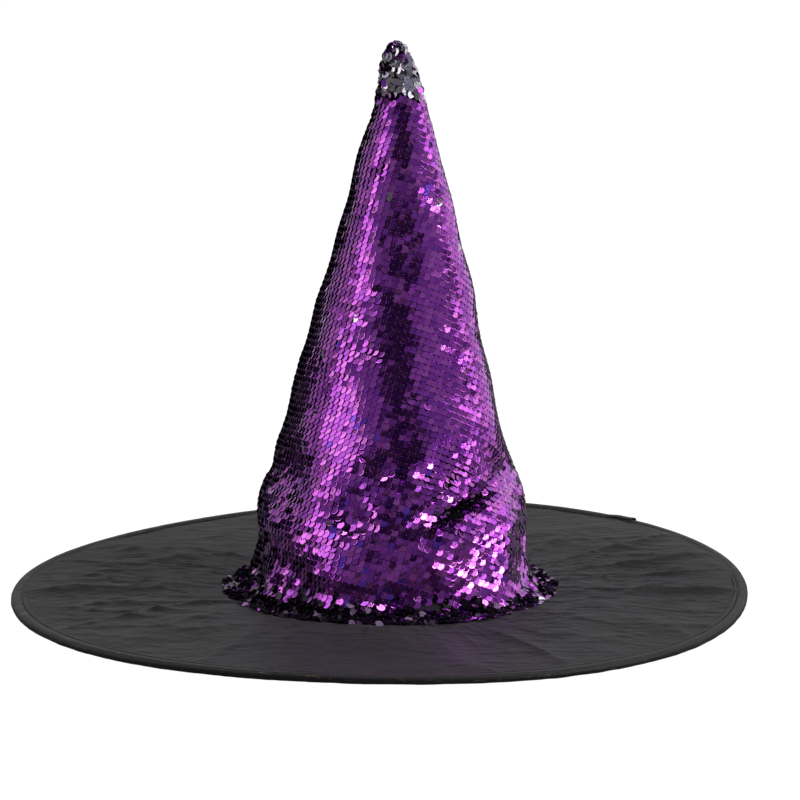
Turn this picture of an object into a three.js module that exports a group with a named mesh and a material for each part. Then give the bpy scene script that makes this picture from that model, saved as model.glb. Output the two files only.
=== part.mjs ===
// A costume witch hat: a tall soft cone of reversible sequin fabric on a flat, round fabric brim.
// The brim is two fabrics over an interlining, with a sprung steel hoop in its bound edge.
// The cone's tip folds at a crease, so the cone is a lower crown, a fold zone and a tip.
// Millimetres, +Z up. The hat stands on its brim, and the origin is under the middle of the brim.

import * as THREE from 'three';

// ---- driving dimensions ----

const BRIM_RADIUS = 211; // mean radius of the brim's edge
const BRIM_OFFSET = 3.2; // how far the hoop's centre is from the crown's axis
const BRIM_OVAL = 2; // how far the hoop is pulled out of round, as two, three and four waves
const BRIM_THREE_WAVE = 2.5;
const BRIM_SQUARE = 2;
const CROWN_X = 5.7; // the crown's axis, from the middle of the brim's bounding box
const CROWN_Y = 0;

const OPENING_RADIUS = 88.3; // the hole in the brim's layers
const CREASE_HEIGHT = 278; // where the tip folds
const TOP_LEAN = 6; // how far the crown leans along X at the crease

// The outside of the cone as radius, height, from its spread hem up to the rounded point.
const CROWN_PROFILE = [
  [94, 6.2], [87.5, 7.2], [82.5, 11], [80.4, 17], [78.4, 27], [76.8, 40], [75.4, 53], [68.2, 75],
  [61.3, 101], [53, 136], [44.1, 170], [34.7, 204.5], [26.2, 238.5], [18.9, 266],
];
const FOLD_PROFILE = [[18.8, 266.4], [16.6, 273], [15, 280], [13.6, 285], [12.9, 289.6]];
const TIP_PROFILE = [[12.8, 290], [11.5, 296], [9.8, 302.5], [7.4, 308], [4.2, 312], [0, 314]];
const TIP_LINING_PROFILE = [[10.3, 290.2], [9.1, 295.3], [7.5, 301.3], [5.4, 306], [0, 309.6]];

const SEQUIN_FABRIC = 2; // thickness of the sequin fabric with its sequins lying flat
const LINING = 0.8;
const SWEATBAND = 0.8;
const GAP = 0.4; // between layers that touch

// Heights of the brim's layers, from the floor up.
const BOTTOM_FABRIC = [1.4, 1.8];
const INTERLINING = [2.1, 2.9];
const TOP_FABRIC = [3.2, 3.6];
const FABRIC_EDGE_INSET = 4.1; // where the brim's layers stop, inside the brim's edge

const HOOP_HEIGHT = 2.3; // the wire's centre
const HOOP_INSET = 2.35;
const HOOP_WIRE_RADIUS = 0.8;
const HOOP_JOINT_ANGLE = 1.7; // where the wire's ends meet, at the back
const HOOP_JOINT_GAP = 0.006; // half the angle left open between the ends
const FERRULE_BORE = 1.1;
const FERRULE_RADIUS = 1.4;
const FERRULE_LENGTH = 18;

const SWEATBAND_FOOT = [86.4, 1.6]; // the ribbon's lower edge, as radius and height
const SEAM_TAPE = 0.6;
const SEAM_TAPE_WIDTH = 6;
const LABEL_SIZE = [18, 0.4, 14];
const LABEL_BACK = 72.2;
const LABEL_HEIGHT = 19;

// The rows of stitches: through the binding on both faces, and under the brim where the crown joins.
const BINDING_STITCH_RADIUS = BRIM_RADIUS - 6.2;
const TOP_STITCH_HEIGHT = 4.6;
const BOBBIN_STITCH_HEIGHT = 0.05;
const CROWN_STITCH_RADIUS = 90.8;
const CROWN_STITCH_HEIGHT = 0.7;
const THREAD = 0.5; // width of a row of stitches
const THREAD_HEIGHT = 0.35;
const LAP_START = 0.83; // where the binding's end laps over its start, at the back right
const LAP_END = 0.9;

const ROUND_STEPS = 60;
const HOOP_STEPS = 72;
const CROWN_STEPS = 44;
const TIP_STEPS = 28;

// ---- materials ----

function cloth(color, roughness, metalness = 0) {
  return new THREE.MeshStandardMaterial({ color, roughness, metalness });
}

const materials = {
  sequins: cloth(0x6a2690, 0.3, 0.7),
  silverSequins: cloth(0x9a9aa2, 0.25, 0.8),
  lining: cloth(0x1b1b1d, 0.9),
  taffeta: cloth(0x333336, 0.5),
  interlining: cloth(0x77777a, 0.95),
  binding: cloth(0x2c2c2e, 0.6),
  thread: cloth(0x151517, 0.8),
  steel: cloth(0x8d9096, 0.35, 1),
  ribbon: cloth(0x202022, 0.75),
  label: cloth(0xe8e6e0, 0.8),
};

// ---- shared shapes ----

// How far the brim's edge is from the crown's axis at an angle.
function brimRadius(angle) {
  return BRIM_RADIUS - BRIM_OFFSET * Math.cos(angle) + BRIM_OVAL * Math.sin(2 * angle)
    - BRIM_THREE_WAVE * Math.cos(3 * angle) - BRIM_SQUARE * Math.cos(4 * angle);
}

// A radius on a round brim, moved to the real outline: all the way at the edge, not at the opening.
function reshapedRadius(radius, angle) {
  const share = (radius - OPENING_RADIUS) / (BRIM_RADIUS - OPENING_RADIUS);
  return radius + THREE.MathUtils.clamp(share, 0, 1.1) * (brimRadius(angle) - BRIM_RADIUS);
}

function asVectors(outline) {
  return outline.map(([radius, height]) => new THREE.Vector2(radius, height));
}

// A closed outline of [radius, height] points turned about the Z axis.
function turned(outline, steps) {
  return new THREE.LatheGeometry(asVectors([...outline, outline[0]]), steps).rotateX(Math.PI / 2);
}

function movePoints(geometry, move) {
  const position = geometry.getAttribute('position');
  const point = new THREE.Vector3();
  for (let i = 0; i < position.count; i += 1) {
    move(point.fromBufferAttribute(position, i));
    position.setXYZ(i, point.x, point.y, point.z);
  }
  return geometry;
}

// A turned ring of the brim, pulled out to the brim's real outline.
function brimRing(outline) {
  return movePoints(turned(outline, ROUND_STEPS), (point) => {
    const angle = Math.atan2(point.y, point.x);
    const radius = reshapedRadius(Math.hypot(point.x, point.y), angle);
    point.x = radius * Math.cos(angle);
    point.y = radius * Math.sin(angle);
  });
}

function leanAt(height) {
  return TOP_LEAN * (height / CREASE_HEIGHT) ** 2;
}

// The crown leans to one side, more so towards its top.
function leaning(geometry) {
  return movePoints(geometry, (point) => {
    point.x += leanAt(point.z);
  });
}

// A profile moved inwards, square to itself. A point on the axis stays on it.
function inside(profile, depth) {
  return profile.map(([radius, height], i) => {
    const [r0, z0] = profile[Math.max(i - 1, 0)];
    const [r1, z1] = profile[Math.min(i + 1, profile.length - 1)];
    const length = Math.hypot(r1 - r0, z1 - z0);
    if (radius === 0) return [0, height - depth];
    return [radius - (depth * (z1 - z0)) / length, height + (depth * (r1 - r0)) / length];
  });
}

// A layer of cloth: the space between two depths under a profile.
function layerOutline(profile, depth, thickness) {
  return [...inside(profile, depth), ...inside(profile, depth + thickness).reverse()];
}

// A closed cap: a layer of cloth under a profile that ends on the axis. It is open at its foot.
function thimble(profile, thickness) {
  const outline = [...inside(profile, thickness).reverse(), ...profile];
  return new THREE.LatheGeometry(asVectors(outline), TIP_STEPS).rotateX(Math.PI / 2);
}

// The brim's edge at one inset and height, as a curve to sweep along.
class BrimEdge extends THREE.Curve {
  constructor(inset, height, start, end) {
    super();
    Object.assign(this, { inset, height, start, end });
  }

  getPoint(t, target = new THREE.Vector3()) {
    const angle = THREE.MathUtils.lerp(this.start, this.end, t);
    const radius = reshapedRadius(BRIM_RADIUS - this.inset, angle);
    return target.set(radius * Math.cos(angle), radius * Math.sin(angle), this.height);
  }
}

function threadRing(radius, bottom) {
  const top = bottom + THREAD_HEIGHT;
  const outer = radius + THREAD / 2;
  const inner = radius - THREAD / 2;
  return brimRing([[inner, bottom], [outer, bottom], [outer, top], [inner, top]]);
}

// ---- the crown ----

function crownSequinShell() {
  return leaning(turned(layerOutline(CROWN_PROFILE, 0, SEQUIN_FABRIC), CROWN_STEPS));
}

function crownFoldZone() {
  return leaning(turned(layerOutline(FOLD_PROFILE, 0, SEQUIN_FABRIC), TIP_STEPS));
}

function tipSequinShell() {
  return leaning(thimble(TIP_PROFILE, SEQUIN_FABRIC));
}

function crownLining() {
  const covered = CROWN_PROFILE.slice(1);
  return leaning(turned(layerOutline(covered, SEQUIN_FABRIC + GAP, LINING), CROWN_STEPS));
}

function tipLining() {
  return leaning(thimble(TIP_LINING_PROFILE, LINING));
}

// A tape over the crown's one seam, up the inside of the lining at the back.
function crownSeamTape() {
  const depth = SEQUIN_FABRIC + LINING + 3 * GAP;
  const covered = CROWN_PROFILE.slice(5);
  const shape = new THREE.Shape(asVectors(layerOutline(covered, depth, SEAM_TAPE)));
  const strip = new THREE.ExtrudeGeometry(shape, { depth: SEAM_TAPE_WIDTH, bevelEnabled: false });
  strip.translate(0, 0, -SEAM_TAPE_WIDTH / 2);
  const back = new THREE.Vector3(0, 1, 0);
  const up = new THREE.Vector3(0, 0, 1);
  const across = new THREE.Vector3(1, 0, 0);
  return leaning(strip.applyMatrix4(new THREE.Matrix4().makeBasis(back, up, across)));
}

// A ribbon around the inside of the opening. Its lower edge is sewn to the brim.
function sweatband() {
  const depth = SEQUIN_FABRIC + LINING + 2 * GAP;
  const profile = [SWEATBAND_FOOT, ...inside(CROWN_PROFILE, depth).slice(1, 5)];
  return turned(layerOutline(profile, 0, SWEATBAND), CROWN_STEPS);
}

function sweatbandThread() {
  const outer = SWEATBAND_FOOT[0] - SWEATBAND - GAP;
  const inner = outer - THREAD_HEIGHT;
  const bottom = SWEATBAND_FOOT[1] + SWEATBAND;
  const top = bottom + THREAD;
  return turned([[inner, bottom], [outer, bottom], [outer, top], [inner, top]], CROWN_STEPS);
}

function blankLabel() {
  const [width, thickness, height] = LABEL_SIZE;
  return new THREE.BoxGeometry(width, thickness, height).translate(0, LABEL_BACK, LABEL_HEIGHT);
}

// ---- the brim ----

function brimLayer([bottom, top]) {
  const edge = BRIM_RADIUS - FABRIC_EDGE_INSET;
  return brimRing([[OPENING_RADIUS, bottom], [edge, bottom], [edge, top], [OPENING_RADIUS, top]]);
}

// A folded strip around the edge: fat over the hoop, and flat where it is sewn to the fabrics.
function edgeBinding() {
  const under = [[7.5, 0.7], [5.2, 0.7], [4.6, 0], [0.8, 0], [0, 0.9]];
  const over = [[0, 3.7], [0.8, 4.6], [4.6, 4.6], [5.2, 4.3], [7.5, 4.3]];
  const lined = [[7.5, 3.95], [0.6, 3.95], [0.6, 0.6], [4.8, 0.6], [5, 1.1], [7.5, 1.1]];
  const section = [...under, ...over, ...lined];
  return brimRing(section.map(([inset, height]) => [BRIM_RADIUS - inset, height]));
}

// The binding's last end, turned over its first: a short second layer on the top and the edge.
function bindingLapEnd() {
  const section = [[5.4, 4.9], [5.4, 5.3], [-0.8, 5.3], [-0.8, 0.6], [-0.4, 0.6], [-0.4, 4.9]];
  const shape = new THREE.Shape(section.map(([inset, height]) => new THREE.Vector2(-height, inset)));
  const extrudePath = new BrimEdge(0, 0, LAP_START, LAP_END);
  return new THREE.ExtrudeGeometry(shape, { extrudePath, steps: 2 });
}

// A spring wire, bent into the brim's outline, with its two ends nearly meeting.
function hoopWire() {
  const shape = new THREE.Shape().absarc(0, 0, HOOP_WIRE_RADIUS, 0, 2 * Math.PI);
  const start = HOOP_JOINT_ANGLE + HOOP_JOINT_GAP;
  const end = HOOP_JOINT_ANGLE - HOOP_JOINT_GAP + 2 * Math.PI;
  const extrudePath = new BrimEdge(HOOP_INSET, HOOP_HEIGHT, start, end);
  return new THREE.ExtrudeGeometry(shape, { extrudePath, steps: HOOP_STEPS, curveSegments: 4 });
}

// The tube that holds the wire's two ends.
function hoopFerrule() {
  const shape = new THREE.Shape().absarc(0, 0, FERRULE_RADIUS, 0, 2 * Math.PI);
  shape.holes.push(new THREE.Path().absarc(0, 0, FERRULE_BORE, 0, 2 * Math.PI));
  const halfAngle = FERRULE_LENGTH / 2 / BRIM_RADIUS;
  const start = HOOP_JOINT_ANGLE - halfAngle;
  const extrudePath = new BrimEdge(HOOP_INSET, HOOP_HEIGHT, start, HOOP_JOINT_ANGLE + halfAngle);
  return new THREE.ExtrudeGeometry(shape, { extrudePath, steps: 4, curveSegments: 6 });
}

// ---- assembly ----

const hat = new THREE.Group();
hat.position.set(CROWN_X, CROWN_Y, 0);

function add(parent, name, geometry, material) {
  const mesh = new THREE.Mesh(geometry, material);
  mesh.name = name;
  parent.add(mesh);
}

const crown = new THREE.Group();
add(crown, 'crown_sequin_fabric', crownSequinShell(), materials.sequins);
add(crown, 'crown_lining', crownLining(), materials.lining);
add(crown, 'crown_seam_tape', crownSeamTape(), materials.ribbon);
add(crown, 'crown_fold_zone', crownFoldZone(), materials.sequins);
add(crown, 'sweatband', sweatband(), materials.ribbon);
add(crown, 'sweatband_thread', sweatbandThread(), materials.thread);
add(crown, 'blank_label', blankLabel(), materials.label);

const tip = new THREE.Group();
add(tip, 'tip_sequin_fabric', tipSequinShell(), materials.silverSequins);
add(tip, 'tip_lining', tipLining(), materials.lining);

const brim = new THREE.Group();
add(brim, 'brim_bottom_fabric', brimLayer(BOTTOM_FABRIC), materials.taffeta);
add(brim, 'brim_interlining', brimLayer(INTERLINING), materials.interlining);
add(brim, 'brim_top_fabric', brimLayer(TOP_FABRIC), materials.taffeta);
add(brim, 'brim_hoop_wire', hoopWire(), materials.steel);
add(brim, 'brim_hoop_ferrule', hoopFerrule(), materials.steel);
add(brim, 'edge_binding', edgeBinding(), materials.binding);
add(brim, 'edge_binding_lap', bindingLapEnd(), materials.binding);
add(brim, 'binding_top_thread', threadRing(BINDING_STITCH_RADIUS, TOP_STITCH_HEIGHT), materials.thread);
add(brim, 'binding_bobbin_thread', threadRing(BINDING_STITCH_RADIUS, BOBBIN_STITCH_HEIGHT), materials.thread);
add(brim, 'crown_seam_thread', threadRing(CROWN_STITCH_RADIUS, CROWN_STITCH_HEIGHT), materials.thread);

hat.add(crown, tip, brim);

export default hat;
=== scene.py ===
"""A costume witch hat: a cone of reversible sequins on a wide taffeta brim with a bound, wired edge.

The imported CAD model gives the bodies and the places. Shapes here are worked out in millimetres and
turned into metres when a mesh is made. Angles on the crown are measured from the front, to the right.
"""

import math

import bpy
import numpy as np
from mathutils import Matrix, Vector


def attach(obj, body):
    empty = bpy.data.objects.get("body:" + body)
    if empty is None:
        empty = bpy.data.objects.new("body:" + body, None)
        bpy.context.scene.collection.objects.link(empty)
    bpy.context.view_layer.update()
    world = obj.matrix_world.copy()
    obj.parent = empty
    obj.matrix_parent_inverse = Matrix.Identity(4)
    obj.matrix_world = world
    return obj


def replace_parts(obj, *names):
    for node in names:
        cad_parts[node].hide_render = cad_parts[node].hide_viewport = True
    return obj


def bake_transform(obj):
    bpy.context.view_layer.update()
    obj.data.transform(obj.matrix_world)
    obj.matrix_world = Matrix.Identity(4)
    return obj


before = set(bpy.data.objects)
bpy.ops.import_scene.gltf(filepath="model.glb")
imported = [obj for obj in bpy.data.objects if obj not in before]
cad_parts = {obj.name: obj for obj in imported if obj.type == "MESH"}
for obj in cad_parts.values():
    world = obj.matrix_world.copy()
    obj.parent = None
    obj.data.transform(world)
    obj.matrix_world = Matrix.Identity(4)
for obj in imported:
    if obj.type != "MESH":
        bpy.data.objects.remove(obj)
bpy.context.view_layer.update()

MM = 0.001  # metres in a millimetre
CROWN_BODY = "crown_and_brim"

# ---- the crown, in millimetres ----

CROWN_X = 5.7  # the crown's axis
CREASE_HEIGHT = 278.0  # where the tip folds
TOP_LEAN = 6.0  # how far the crown leans along X at the crease
POINT_HEIGHT = 316.0
TIP_RETURN = 4.0  # how far the point leans back from there

# The outside of the sequins as (radius, height), from the point down to the spread hem.
CROWN_PROFILE = [
    (0, 314), (4.2, 312), (7.4, 308), (9.8, 302.5), (11.5, 296), (12.8, 290), (13.6, 285), (15, 280),
    (16.6, 273), (18.9, 266), (26.2, 238.5), (34.7, 204.5), (44.1, 170), (53, 136), (61.3, 101),
    (68.2, 75), (75.4, 53), (76.8, 40), (78.4, 27), (80.4, 17), (82.5, 11), (87.5, 7.2), (94, 6.2),
]
SWEATBAND_PROFILE = [(85.4, 1.7), (83.2, 4.5), (80.0, 9.0), (76.9, 15.5), (75.0, 26.5), (73.5, 38.5)]

BACKING = (1.5, 0.5)  # depth under the outside of the sequins, and thickness
LINING = (2.7, 0.4)
HEM_ROLL_RADIUS = 1.55
SEAM_TAPE_FROM_HEM, SEAM_TAPE_FROM_POINT = 35, 58  # where the tape's ends are
# The tape's section, as distances from the seam and depths.
SEAM_TAPE_SECTION = [(-3, 3.5), (-1, 3.4), (1, 3.4), (3, 3.5), (3, 4.0), (1, 4.1), (-1, 4.1), (-3, 4.0)]
SWEATBAND_RIBS = 430
SWEATBAND_STITCHES = 156
SWEATBAND_STITCH_HEIGHT = 2.9
LABEL_WIDTH = 18.0
LABEL_RADIUS = 75.0  # of the ribbon that the label is sewn to
LABEL_TACKS = [(x, height) for x in (-8.2, 8.2) for height in (22.6, 24.0, 25.4)]
# The folded label's outline, as distances in from the ribbon's middle and heights.
LABEL_SECTION = [
    (0.55, 26.0), (0.6, 20.0), (0.75, 15.0), (0.8, 13.0), (1.15, 12.1), (1.7, 12.3), (2.05, 13.2),
    (1.8, 15.0), (1.3, 20.0), (1.0, 24.0), (0.95, 26.0),
]

# Folds in the soft crown: turn from the front in degrees, height, half length in degrees,
# half width, rise per degree along the fold, and depth (outwards is positive).
CROWN_FOLDS = [
    (36, 64, 20, 3.8, 0.36, -7.0),
    (37, 44, 28, 16, 0.10, 3.6),
    (12, 88, 16, 9, 0.9, 2.2),
    (62, 104, 14, 24, 0.0, 2.8),
    (-18, 60, 10, 6, -0.5, -2.5),
    (-5, 17, 60, 6, 0.0, -3.5),
    (50, 22, 9, 14, 0.0, 3.0),
    (-50, 30, 20, 8, -0.3, -3.0),
    (-30, 120, 16, 45, 0.0, -1.8),
    (150, 60, 30, 9, 0.2, -4.0),
    (-140, 45, 35, 8, -0.25, -4.0),
    (110, 90, 25, 10, 0.1, -0.8),
    (-95, 75, 22, 9, 0.15, -2.5),
    (90, 200, 55, 60, 0.0, 2.2),
    (82, 74, 22, 12, 0.0, -3.0),
    (-88, 98, 28, 16, 0.0, -1.8),
]
BULGE = (38, 42, 26, 20, 0.0, 2.0)  # where the sequins are most ruffled, written like a fold
# Where the sequins face further up, written like folds with degrees for a depth.
SEQUIN_LEANS = [BULGE, (29, 85, 20, 15, 0.0, 13.0), (28, 142, 18, 16, 0.0, 4.0)]
RELIEF_LOW = 2.2  # unevenness of the slumped lower crown
RELIEF_HIGH = 0.7  # unevenness everywhere
RELIEF_FADE = (70.0, 120.0)  # heights between which the first fades away

# ---- sequins ----

SEQUIN_PITCH = 3.45  # the square grid that the sequins are sewn on
SEQUIN_RADIUS = 2.4
SEQUIN_THICKNESS = 0.12
SEQUIN_DISH = 0.035  # how far the middle lies under the rim
SEQUIN_FLAT = 0.82  # radius of the flat middle, as a share
SEQUIN_SIDES = 14
SEQUIN_DEPTH = 0.9  # where the sequins' middles lie, under the profile
SEQUIN_TILT = 7.0  # degrees that the lower edge stands out
SEQUIN_YAW = 7.0  # degrees that the right edge stands out
SEQUIN_JITTER = 1.5  # degrees that a sequin is out of line where nothing has rumpled it
BRUSHED_JITTER, HOOD_EDGE_JITTER, HIDDEN_JITTER = 13.0, 4.0, 18.0  # what brushing and crushing add
UPPER_LEAN = 4.5  # degrees that the sequins of the upper crown face further down
UPPER_START = (180, 205)  # heights between which that sets in
GATHERS_START = (262, 275)  # heights between which the crown's smooth cone ends
LOW_END = (50, 105)  # heights between which the slumped lower crown ends
SECTOR_START = 23.0  # how far the flat sector's point is above the gathered tip
SECTOR_HALF = 0.797  # half the sector's angle
GRAIN_TURN = 0.262  # how far the sector was cut off the grid of the sequins, in radians
BARE_HEM = 10.0  # width of the hem, where most sequins are crushed and painted near-black as shade
HEM_SHADOW = 12.0  # width above that in which ever fewer are crushed and painted near-black as shade
FRINGE_TURN, FRINGE_SPREAD = 70, 42  # where the hem shows most sequins, in degrees
SEWN_SHARE = 0.85  # share of the crushed, shade-painted sequins that haven't come off
FRINGE_WIDTH = 3.5  # the outermost row, which peeps out under the hem
HOOD_EDGE = 280.0  # above this the sequins are brushed over to their silver side
HOOD_WAVE = 4.0
BRUSHED_SHARE, STRAY_SHARE = 0.87, 0.003  # shares turned to silver above the edge, and under it
SEWN_OFFSET = 0.7  # how far a sequin's middle lies from where it is sewn
KNOT_OFFSET = 0.45  # how far from the middle its stitch shows
POINT_LIFT = 1.3  # how far the sequins at the very point stand up
POINT_START = (306, 313)
TOP_PIECE_HEIGHT = 250.0  # sequins above this are in the top piece, which is left unattached to the crown

# ---- the brim ----

BRIM_RADIUS = 211.0
OPENING_RADIUS = 88.3
FABRIC_EDGE_INSET = 4.1
BOTTOM_FABRIC = (1.4, 1.8)
INTERLINING = (2.1, 2.9)
TOP_FABRIC = (3.2, 3.6)
# The brim's outline and the lift of its edge, as waves around it: how many, and cosine and sine.
OUTLINE_WAVES = [(1, -3.2, 0.0), (2, 0.0, 2.0), (3, -2.5, 0.0), (4, -2.0, 0.0)]
LIFT_WAVES = [(0, 2.15, 0.0), (1, 1.25, 2.4), (2, -1.4, 1.3), (3, 0.0, -0.4), (4, 0.45, -0.25)]
FINE_CREASES, BROAD_CREASES, HEM_CREASES, SAG = 0.8, 1.4, 1.7, 3.0  # heights
RAY_CREASES, RAY_GROWTH = 1.3, 3.2  # height of the creases that fan out, and what the edge adds
BOTTOM_RELIEF = -0.2  # share of the top's creases that the bottom has, the other way up


# ---- shared shapes ----


def smooth_path(points, steps=16):
    """A Catmull-Rom curve through points, as an array of steps points a span."""
    p = np.array(points, float)
    p = np.vstack([2 * p[0] - p[1], p, 2 * p[-1] - p[-2]])
    t = np.linspace(0, 1, steps, endpoint=False)[:, None]
    spans = []
    for a, b, c, d in zip(p, p[1:], p[2:], p[3:]):
        spans.append(
            0.5 * (2 * b + (c - a) * t + (2 * a - 5 * b + 4 * c - d) * t**2
                   + (3 * b - 3 * c + d - a) * t**3)
        )
    return np.vstack([*spans, p[-2]])


def smoothstep(low, high, value):
    t = np.clip((value - low) / (high - low), 0, 1)
    return t * t * (3 - 2 * t)


def unit(vectors):
    return vectors / np.linalg.norm(vectors, axis=-1, keepdims=True)


def full_turn(count):
    """Evenly spaced angles all the way around."""
    return np.linspace(0, 2 * np.pi, count, endpoint=False)


def rotated(a, b, angle):
    """Two directions, turned so that the first goes towards the second."""
    cosine, sine = np.cos(angle)[:, None], np.sin(angle)[:, None]
    return cosine * a + sine * b, cosine * b - sine * a


def inwards(turn):
    """The level direction towards the crown's axis."""
    return np.stack([-np.sin(turn), np.cos(turn), 0 * turn], axis=-1)


class Waves:
    """Seeded unevenness: a sum of sine waves through space, about -1 to 1."""

    def __init__(self, seed, shortest, longest, count=18):
        draw = np.random.default_rng(seed)
        length = np.exp(draw.uniform(np.log(shortest), np.log(longest), count))
        self.wave = unit(draw.normal(size=(count, 3))) * (2 * np.pi / length)[:, None]
        self.phase = draw.uniform(0, 2 * np.pi, count)
        self.strength = length / np.sqrt((length**2).sum())

    def __call__(self, points):
        return (np.sin(points @ self.wave.T + self.phase) * self.strength).sum(-1)


class Profile:
    """A turned outline: radius and height at a distance down it, and which way is out."""

    def __init__(self, points):
        path = smooth_path(points)
        step = np.linalg.norm(np.diff(path, axis=0), axis=1)
        self.down = np.concatenate([[0], np.cumsum(step)])
        self.radius, self.height = path.T
        slope = np.gradient(path, self.down, axis=0)
        out = unit(np.stack([-slope[:, 1], slope[:, 0]], axis=1))
        near_axis = smoothstep(0, 5, self.radius)
        self.out = unit(np.stack([out[:, 0] * near_axis, out[:, 1] + 1e-9], axis=1))

    def at(self, down):
        return [np.interp(down, self.down, v) for v in (self.radius, self.height, *self.out.T)]


crown_profile = Profile(CROWN_PROFILE)
HEM_DOWN = crown_profile.down[-1]  # distance down the crown to its hem
low_waves = Waves(11, 34, 80)
high_waves = Waves(12, 30, 70)


def lean_at(height):
    """How far along X the crown leans."""
    lean = TOP_LEAN * np.clip(height / CREASE_HEIGHT, 0, None) ** 2
    return lean - TIP_RETURN * smoothstep(CREASE_HEIGHT, POINT_HEIGHT, height)


def turned_points(radius, height, turn):
    """Points about the leaning crown's axis."""
    return np.stack(
        [CROWN_X + radius * np.sin(turn) + lean_at(height), -radius * np.cos(turn), height + 0 * turn],
        axis=-1,
    )


def fold_share(turn, height, fold):
    """How much of a fold's depth is reached at a place, from 0 to 1."""
    angle, middle, half_length, half_width, rise, _ = fold
    off = (np.degrees(turn) - angle + 180) % 360 - 180
    across = (height - middle - rise * off) / half_width
    return np.exp(-(across**2) - (off / half_length) ** 2)


def crown_relief(turn, height, points):
    """How far the soft crown stands out from its plain profile."""
    low = 1 - smoothstep(*RELIEF_FADE, height)
    fade = smoothstep(4, 14, height) * (1 - 0.6 * smoothstep(250, 290, height))
    relief = RELIEF_LOW * low * low_waves(points) + RELIEF_HIGH * high_waves(points)
    for fold in CROWN_FOLDS:
        relief = relief + fold[-1] * fold_share(turn, height, fold)
    return relief * fade


def crown_surface(turn, down, depth=0.0):
    """Points of the crown, at an angle from the front and a distance down from the point."""
    radius, height, out_r, out_z = crown_profile.at(down)
    relief = crown_relief(turn, height, turned_points(radius, height, turn)) - depth
    return turned_points(radius + out_r * relief, height + out_z * relief, turn)


# ---- meshes ----


def make_piece(name, points, loops, sizes, slots, face_slots=None, smooth=True):
    """A mesh object from points in millimetres, the faces' corners in a row, and the faces' sizes."""
    loops, sizes = np.asarray(loops, np.int32), np.asarray(sizes, np.int32)
    mesh = bpy.data.meshes.new(name)
    mesh.vertices.add(len(points))
    mesh.vertices.foreach_set("co", (np.asarray(points) * MM).astype(np.float32).ravel())
    mesh.loops.add(len(loops))
    mesh.loops.foreach_set("vertex_index", loops)
    mesh.polygons.add(len(sizes))
    mesh.polygons.foreach_set("loop_start", (np.cumsum(sizes) - sizes).astype(np.int32))
    mesh.polygons.foreach_set("loop_total", sizes)
    mesh.polygons.foreach_set("use_smooth", np.full(len(sizes), smooth))
    for material in slots:
        mesh.materials.append(material)
    if face_slots is not None:
        mesh.polygons.foreach_set("material_index", np.asarray(face_slots, np.int32))
    mesh.update(calc_edges=True)
    mesh.validate()
    piece = bpy.data.objects.new(name, mesh)
    bpy.context.scene.collection.objects.link(piece)
    return piece


def grid_faces(rows, columns, rows_close, columns_close):
    """Corners of the squares between the points of a grid."""
    i = np.arange(rows if rows_close else rows - 1)[:, None]
    j = np.arange(columns if columns_close else columns - 1)[None, :]
    k, m = (i + 1) % rows, (j + 1) % columns
    return np.stack([i * columns + j, k * columns + j, k * columns + m, i * columns + m], -1).reshape(-1, 4)


def round_piece(name, rows, slots, rows_close=True):
    """A piece turned about an axis: rows of points, each a closed ring.
    Where the rows don't close, the first and last are single points."""
    rows = np.asarray(rows)
    count, around = rows.shape[:2]
    if rows_close:
        faces = grid_faces(count, around, True, True)
        return make_piece(name, rows.reshape(-1, 3), faces.ravel(), np.full(len(faces), 4), slots)
    points = np.vstack([rows[0].mean(0), rows[1:-1].reshape(-1, 3), rows[-1].mean(0)])
    squares = grid_faces(count - 2, around, False, True) + 1
    j = np.arange(around)
    first = np.stack([0 * j, 1 + j, 1 + (j + 1) % around], -1)
    base = 1 + (count - 3) * around
    last = np.stack([0 * j + len(points) - 1, base + (j + 1) % around, base + j], -1)
    loops = np.concatenate([squares.ravel(), first.ravel(), last.ravel()])
    sizes = np.concatenate([np.full(len(squares), 4), np.full(2 * around, 3)])
    return make_piece(name, points, loops, sizes, slots)


def strip_piece(name, rows, slots):
    """A swept section: rows of points, each a closed ring, with a flat face over each end."""
    rows = np.asarray(rows)
    count, around = rows.shape[:2]
    faces = grid_faces(count, around, False, True)
    ends = np.concatenate([np.arange(around)[::-1], (count - 1) * around + np.arange(around)])
    loops = np.concatenate([faces[:, ::-1].ravel(), ends])
    sizes = np.concatenate([np.full(len(faces), 4), [around, around]])
    return make_piece(name, rows.reshape(-1, 3), loops, sizes, slots)


def scatter_piece(name, template, centres, axes, slots, face_slots=None, smooth=False):
    """Many copies of a small shape. axes are three directions for each copy, and out is along x across."""
    points, faces = template
    along, across, out = axes
    placed = (
        centres[:, None]
        + points[None, :, 0:1] * across[:, None]
        + points[None, :, 1:2] * along[:, None]
        + points[None, :, 2:3] * out[:, None]
    )
    corners = np.concatenate([np.asarray(f)[::-1] for f in faces])
    sizes = np.array([len(f) for f in faces])
    loops = (corners[None, :] + len(points) * np.arange(len(centres))[:, None]).ravel()
    return make_piece(
        name, placed.reshape(-1, 3), loops, np.tile(sizes, len(centres)), slots, face_slots, smooth
    )


def stitch_template(length, radius, sides=6, stations=5):
    """One stitch: a thread that comes out of the cloth and goes back in. It lies along Y."""
    turn = full_turn(sides)
    rings = []
    for along in np.linspace(-1, 1, stations):
        width = radius * (1 - 0.3 * along**2)
        lift = radius * (0.9 - 1.7 * along**2)
        rings += [(width * math.cos(a), along * length / 2, lift + width * math.sin(a)) for a in turn]
    last = (stations - 1) * sides
    faces = list(grid_faces(stations, sides, False, True))
    faces += [np.arange(sides), (last + np.arange(sides))[::-1]]
    return np.array(rings), faces


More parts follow.
